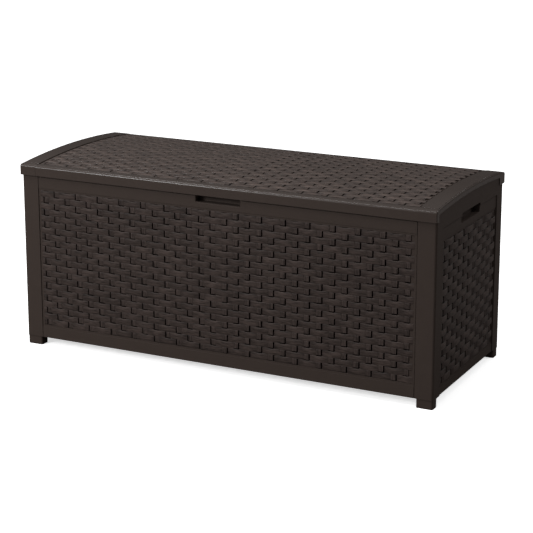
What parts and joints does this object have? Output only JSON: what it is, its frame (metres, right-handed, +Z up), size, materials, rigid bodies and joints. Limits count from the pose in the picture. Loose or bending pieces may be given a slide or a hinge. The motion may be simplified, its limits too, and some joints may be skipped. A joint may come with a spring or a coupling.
{
  "type": "deck storage box",
  "caption": "Long outdoor storage chest with woven-look resin walls between plain corner posts, side hand grips and an arched lid hinged along the back.",
  "frame": {"origin": "on the ground, at the middle of the four feet and of the whole plan", "axes": "+X along the length to the right as seen from the front, +Y from the front to the back, +Z up"},
  "size_m": [1.351, 0.5564, 0.586],
  "materials": {
    "wall_resin": "moulded polypropylene, satin, dark brown, woven-look fields",
    "lid_resin": "moulded polypropylene, satin, dark brown, woven-look field and plain end bands",
    "inner_resin": "moulded polypropylene, fine matt texture, dark brown",
    "hinge_resin": "moulded glass-filled nylon, matt, near black brown",
    "pin_steel": "drawn zinc-plated steel",
    "screw_steel": "zinc-plated steel"
  },
  "bodies": {
    "box": {"left_side_panel": "wall_resin", "right_side_panel": "wall_resin", "front_panel": "wall_resin", "back_panel": "wall_resin", "floor_panel": "inner_resin", "left_hinge_bracket": "hinge_resin", "center_hinge_bracket": "hinge_resin", "right_hinge_bracket": "hinge_resin", "left_hinge_pin": "pin_steel", "center_hinge_pin": "pin_steel", "right_hinge_pin": "pin_steel", "corner_screws": "screw_steel", "bracket_screws": "screw_steel"},
    "lid": {"lid_shell": "lid_resin", "lid_liner": "inner_resin", "liner_screws": "screw_steel"}
  },
  "joints": [
    {"name": "lid_hinge", "type": "hinge", "parent": "box", "child": "lid", "pos_m": [0, 0.2744, 0.5418], "axis": [-1, 0, 0], "range_deg": [0, 97]}
  ]
}
